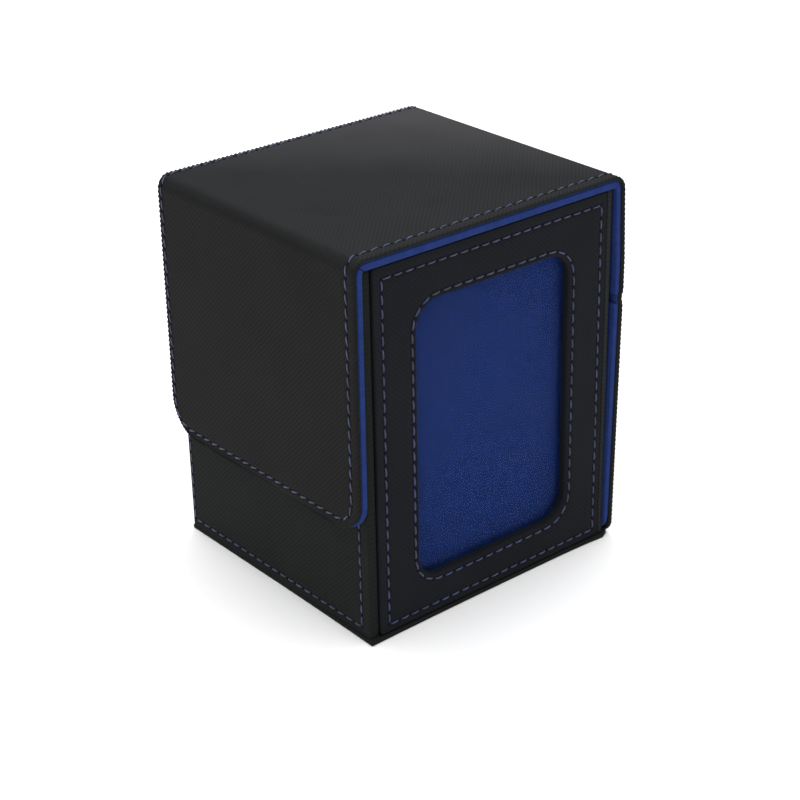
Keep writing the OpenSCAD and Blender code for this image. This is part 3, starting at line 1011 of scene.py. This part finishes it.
# a leather wall with a seam round it
def makeSewnWall(name, facts, surface, material):
    (start, end), (low, high) = facts["span"], facts["across"]
    linedThick, rimThick = tray["wallThick"]
    seam = newSeam(*facts["seam"])

    def place(s, y, t, h):
        point, normal = surface(s, y)
        return point + normal * (h - t / 2)

    leather = makeSlab(name + "_leather", {
        "start": start, "end": end, "halfWidth": (high - low) / 2, "middle": (high + low) / 2,
        "openStart": facts["openStart"], "startRadius": facts["footRadius"], "endRadius": facts["rimRadius"],
        "thick": turnedRim(linedThick, rimThick, *facts["lined"], facts["sideThick"]), "edge": facts["edge"],
        "rows": rowsToRim(start, end, wallInsets, 1.1), "insets": wallInsets, "across": 14,
        "place": place, "dent": lambda s, y, d: seamDent(seam, s, y),
    }, material)
    fixToBox(leather, "leather_black", *facts["leatherFor"])
    stitches = makeStitches(name + "_stitches", [seam], surface, tray["slant"])
    fixToBox(stitches, "thread_blue", *facts["threadFor"])


wallStart, wallEnd = tray["baseTop"], tray["rim"]
flapWall = {
    "span": (wallStart, wallEnd), "across": (-38.3, 38.75), "lined": (-32.9, 36.3), "sideThick": 2.7,
    "openStart": True, "footRadius": 0.0, "rimRadius": 0.7, "edge": 0.38,
    "seam": (3.3, -34.95, 96.5, 37.6, 0.0),
    "leatherFor": ("flap_side_skin", "flap_side_board"), "threadFor": ("flap_side_thread",),
}
rearPanel = {
    "span": (tray["panelFoot"], wallEnd), "across": tray["panelX"], "lined": (-37.4, 38.1), "sideThick": 2.2,
    "openStart": False, "footRadius": 0.4, "rimRadius": 0.7, "edge": 0.4,
    "seam": (3.5, -34.4, 96.2, 35.6, 0.0),
    "leatherFor": ("rear_skin", "rear_board"), "threadFor": ("rear_thread",),
}

# wall behind the flap, its outer face towards -X
makeSewnWall("flap_wall", flapWall,
             lambda s, y: (Vector((-tray["halfX"], y, s)), Vector((-1.0, 0.0, 0.0))), wallLeather)

# wall behind the back: its outer layer shows as a strip beside the front and rear panels
stripShape = {"halfWidth": 38.5, "thick": 1.6, "edge": 0.35, "outside": 40.45}
hingeStrip = makeSlab("hinge_wall_strip", {
    "start": wallStart, "end": wallEnd, "halfWidth": stripShape["halfWidth"], "startRadius": 0.3,
    "endRadius": 0.6, "thick": stripShape["thick"], "edge": stripShape["edge"], "insets": plainInsets,
    "across": 6, "step": 5.0, "place": lambda s, y, t, h: (stripShape["outside"] - t / 2 + h, y, s),
}, litStripLeather)
fixToBox(hingeStrip, "leather_black")

# and its inner layer faces the cards
coreShape = {"halfWidth": 36.5, "thick": (0.22, 0.72), "edge": 0.2, "outside": 38.72, "endShort": 0.05}
coreInsets = [0.0, 0.05, 0.15, 0.3, 0.6, 2.0, 3.4, 3.8, 4.2, 6.0]
coreEnd = wallEnd - coreShape["endShort"]
hingeCore = makeSlab("hinge_wall_leather", {
    "start": wallStart, "end": coreEnd, "halfWidth": coreShape["halfWidth"], "startRadius": 0.3,
    "endRadius": 0.6, "thick": turnedRim(*coreShape["thick"], *flapWall["lined"], coreShape["thick"][0]),
    "edge": coreShape["edge"], "rows": rowsToRim(wallStart, coreEnd, coreInsets[:6], 4.0),
    "insets": coreInsets, "across": 6,
    "place": lambda s, y, t, h: (coreShape["outside"] - t / 2 + h, y, s),
}, wallLeather)
fixToBox(hingeCore, "leather_black", "hinge_side_skin", "hinge_side_board")

# rear panel, its outer face towards +Y
makeSewnWall("rear", rearPanel,
             lambda s, x: (Vector((x, tray["halfY"], s)), Vector((0.0, 1.0, 0.0))), panelLeather)

# suede-covered board behind the displayed card
dividerShape = {"halfWidth": 38.0, "middle": 0.5, "y": (-35.0, -32.7), "top": 98.9, "edge": 0.5}
dividerPiece = makeSlab("divider_suede", {
    "start": wallStart, "end": dividerShape["top"], "halfWidth": dividerShape["halfWidth"],
    "middle": dividerShape["middle"], "startRadius": 0.3, "endRadius": 0.4,
    "thick": dividerShape["y"][1] - dividerShape["y"][0], "edge": dividerShape["edge"],
    "insets": plainInsets, "across": 8, "step": 8.0,
    "place": lambda s, x, t, h: (x, sum(dividerShape["y"]) / 2 - h, s),
}, displaySuede)
fixToBox(dividerPiece, "suede_blue", "display_lining", "display_board", "front_lining")
print("tray walls laid")


# window panel

window = {
    "x": (-24.0, 25.6),
    "z": (11.9, 86.7),
    "radius": 6.5,
    "outerSeam": (-34.47, 3.5, 36.35, 96.2, 0.0),
    "seamOut": 1.6,
    "front": -38.85,
    "back": -36.65,
    "outerEdge": 0.4,
    "innerEdge": 1.0,
    "corner": 0.8,
    "leastCorner": 0.35,
    "cornerSteps": 8,
    "sideSteps": 56,
}


# points round a rounded rectangle, the same number on every ring
def ringPoints(*rect):
    loop = roundedLoop(*rect, window["cornerSteps"])
    size, sideSteps = window["cornerSteps"] + 1, window["sideSteps"]
    points = []
    for first in range(0, len(loop), size):
        corner, following = loop[first:first + size], loop[(first + size) % len(loop)]
        points += corner + [between(corner[-1], following, k / sideSteps) for k in range(1, sideSteps)]
    return points


def outerRing(inset):
    x0, x1 = tray["panelX"]
    return ringPoints(x0 + inset, tray["panelFoot"] + inset, x1 - inset, tray["rim"] - inset,
                      max(window["leastCorner"], window["corner"] - inset))


def outerSeamRing(share):
    x0, z0, x1, z1, radius = window["outerSeam"]
    return ringPoints(x0 + share, z0 + share, x1 - share, z1 - share, max(radius, 0.1))


# the window's rectangle and corner radius, made larger by the outset
def windowRect(outset):
    (x0, x1), (z0, z1) = window["x"], window["z"]
    return x0 - outset, z0 - outset, x1 + outset, z1 + outset, window["radius"] + outset


def innerRing(outset):
    return ringPoints(*windowRect(outset))


def mixRings(first, second, t):
    return [between(a, b, t) for a, b in zip(first, second)]


outerSeam = newSeam(*window["outerSeam"])
innerSeam = newSeam(*windowRect(window["seamOut"]))


# rings of the panel from its back edge outside, over the front, to its back edge inside the
# window, closer together beside each seam
def panelRings():
    front, back = window["front"], window["back"]
    rings = [(outerRing(0.0), back)]
    edge = window["outerEdge"]
    for k in range(6):
        a = math.pi / 2 * k / 5
        rings.append((outerRing(edge * (1 - math.cos(a))), front + edge * (1 - math.sin(a))))
    start, seamLine = outerRing(edge), outerSeamRing(0.0)
    rings += [(mixRings(start, seamLine, t), front) for t in (0.3, 0.5, 0.66, 0.8, 0.9)]
    rings += [(outerSeamRing(share), front) for share in (0.0, 0.2, 0.45, 0.75, 1.1, 1.6)]
    flatStart, flatEnd = outerSeamRing(1.6), innerRing(3.4)
    rings += [(mixRings(flatStart, flatEnd, t), front) for t in (0.2, 0.4, 0.6, 0.8)]
    rings += [(innerRing(outset), front) for outset in (3.4, 2.8, 2.4, 2.1, 1.8, 1.6, 1.4, 1.15)]
    edge = window["innerEdge"]
    for k in range(7):
        a = math.pi / 2 * k / 6
        rings.append((innerRing(edge * (1 - math.sin(a))), front + edge * (1 - math.cos(a))))
    rings.append((innerRing(0.0), back))
    return rings


def makeWindowPanel():
    builder = bmesh.new()
    sheet = builder.loops.layers.uv.new("sheet")
    verts = []
    for points, depth in panelRings():
        row = []
        for x, z in points:
            dents = (seamDent(outerSeam, x, z), seamDent(innerSeam, x, z))
            low = max(dents) if depth == window["front"] else 0.0
            row.append(builder.verts.new((x, depth + low, z)))
        verts.append(row)
    count = len(verts[0])
    for r in range(len(verts)):
        n = (r + 1) % len(verts)
        for k in range(count):
            m = (k + 1) % count
            face = builder.faces.new([verts[r][k], verts[r][m], verts[n][m], verts[n][k]])
            for loop in face.loops:
                loop[sheet].uv = (loop.vert.co.x, loop.vert.co.z)
    return finishMesh("window_panel_leather", builder, [panelLeather])


windowPanel = makeWindowPanel()
fixToBox(windowPanel, "leather_black", "window_panel_skin", "window_panel_board")
windowStitches = makeStitches(
    "window_panel_stitches", [outerSeam, innerSeam],
    lambda x, z: (Vector((x, window["front"], z)), Vector((0.0, -1.0, 0.0))), tray["slant"])
fixToBox(windowStitches, "thread_blue", "window_panel_thread")
print("window panel laid")


# finishes of the parts kept as they are

keptFinish = {
    "pocket_spacer": blackSuede, "floor_lining": blueSuedeNode, "flap_side_lining": blueSuedeNode,
    "hinge_side_lining": blueSuedeNode, "rear_lining": blueSuedeNode,
    "wall_magnets": nickel, "flap_magnets": nickel, "window_film": clearFilm,
}
for nodeName, material in keptFinish.items():
    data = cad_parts[nodeName].data
    data.materials.clear()
    data.materials.append(material)
print("kept parts finished")


# floor, light and camera

studio = {
    "floor": {"colour": (246, 246, 246), "marks": (0.004, 2.0), "tone": (0.99, 1.0),
              "finish": {"Roughness": 0.9, "Specular IOR Level": 0.1}},
    "floorHalf": 6.0,
    "floorDrop": 0.0001,
    "aim": (0.0, 0.0, 0.05),
    "ambient": 0.38,
    "key": {"at": (-1.15, -0.65, 0.8), "size": 0.8, "power": 5.0},
    "top": {"at": (0.2, 0.25, 2.0), "size": 3.0, "power": 86.0},
}


def makeFloor():
    mesh = bpy.data.meshes.new("floor")
    half = studio["floorHalf"]
    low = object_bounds()[0].z - studio["floorDrop"]
    corners = [(-half, -half, low), (half, -half, low), (half, half, low), (-half, half, low)]
    mesh.from_pydata(corners, [], [(0, 1, 2, 3)])
    made = bpy.data.objects.new("floor", mesh)
    bpy.context.scene.collection.objects.link(made)
    mesh.materials.append(makePlain("floorPale", studio["floor"]))


def addSoftbox(name, facts):
    data = bpy.data.lights.new(name, "AREA")
    data.shape = "SQUARE"
    data.size = facts["size"]
    data.energy = facts["power"]
    made = bpy.data.objects.new(name, data)
    bpy.context.scene.collection.objects.link(made)
    made.location = facts["at"]
    aim = Vector(studio["aim"]) - made.location
    made.rotation_mode = "QUATERNION"
    made.rotation_quaternion = aim.to_track_quat("-Z", "Y")


makeFloor()
addSoftbox("keyLight", studio["key"])
addSoftbox("topLight", studio["top"])
world = bpy.data.worlds.new("studio")
bpy.context.scene.world = world
world.use_nodes = True
sky = world.node_tree.nodes["Background"]
sky.inputs["Color"].default_value = (1.0, 1.0, 1.0, 1.0)
seen = world.node_tree.nodes.new("ShaderNodeLightPath").outputs["Is Camera Ray"]
# the background shows white, and the light that it gives is dimmer
feed(world.node_tree, sky.inputs["Strength"], mixValue(world.node_tree, seen, studio["ambient"], 1.0))
bpy.context.scene.view_settings.view_transform = "Standard"

camera = {
    "at": (-0.286468, -0.351140, 0.263330),
    "right": (0.76664, -0.64182, -0.01815),
    "up": (0.29622, 0.32848, 0.89686),
    "lens": 85.98,
    "sensor": 36.0,
}
cameraData = bpy.data.cameras.new("camera")
cameraData.sensor_width = camera["sensor"]
cameraData.lens = camera["lens"]
cameraData.clip_start, cameraData.clip_end = 0.01, 50.0
cameraObject = bpy.data.objects.new("camera", cameraData)
bpy.context.scene.collection.objects.link(cameraObject)
right, up = Vector(camera["right"]).normalized(), Vector(camera["up"]).normalized()
backward = right.cross(up).normalized()
up = backward.cross(right)
cameraTurn = Matrix((right, up, backward)).transposed().to_4x4()
cameraTurn.translation = Vector(camera["at"])
cameraObject.matrix_world = cameraTurn
bpy.context.scene.camera = cameraObject
print("studio ready")
